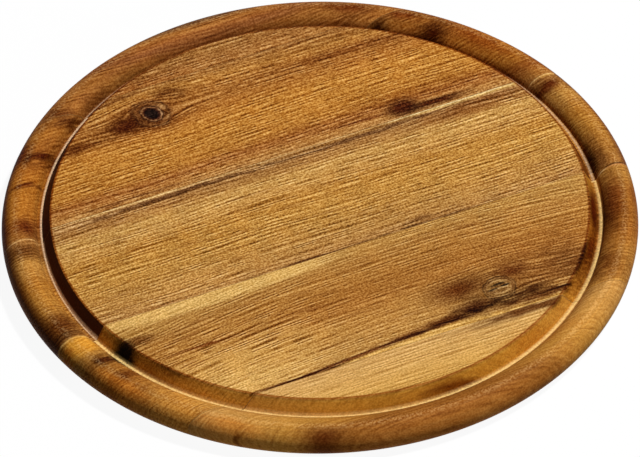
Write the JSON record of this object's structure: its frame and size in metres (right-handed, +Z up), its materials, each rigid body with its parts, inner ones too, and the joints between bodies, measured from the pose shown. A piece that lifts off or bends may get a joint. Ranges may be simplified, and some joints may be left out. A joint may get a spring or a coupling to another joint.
{
  "type": "carving board",
  "caption": "Round acacia carving board, edge-glued from staves and turned, with a raised flat carving surface, a juice groove round it and a half-round rim bead.",
  "frame": {"origin": "middle of the flat underside", "axes": "+Z up out of the carving surface, +X along the grain of the staves, +Y across them"},
  "size_m": [0.3, 0.3, 0.018],
  "materials": {
    "far_edge_stave": "oiled acacia, sanded smooth, grain along X",
    "far_stave": "oiled acacia, sanded smooth, grain along X",
    "middle_stave": "oiled acacia, sanded smooth, grain along X",
    "near_stave": "oiled acacia, sanded smooth, grain along X",
    "near_edge_stave": "oiled acacia, sanded smooth, grain along X",
    "wood_glue": "cured wood glue, flush with the wood"
  },
  "bodies": {
    "root": {"far_edge_stave": "far_edge_stave", "far_stave": "far_stave", "middle_stave": "middle_stave", "near_stave": "near_stave", "near_edge_stave": "near_edge_stave", "glue_line_1": "wood_glue", "glue_line_2": "wood_glue", "glue_line_3": "wood_glue", "glue_line_4": "wood_glue"}
  },
  "joints": []
}
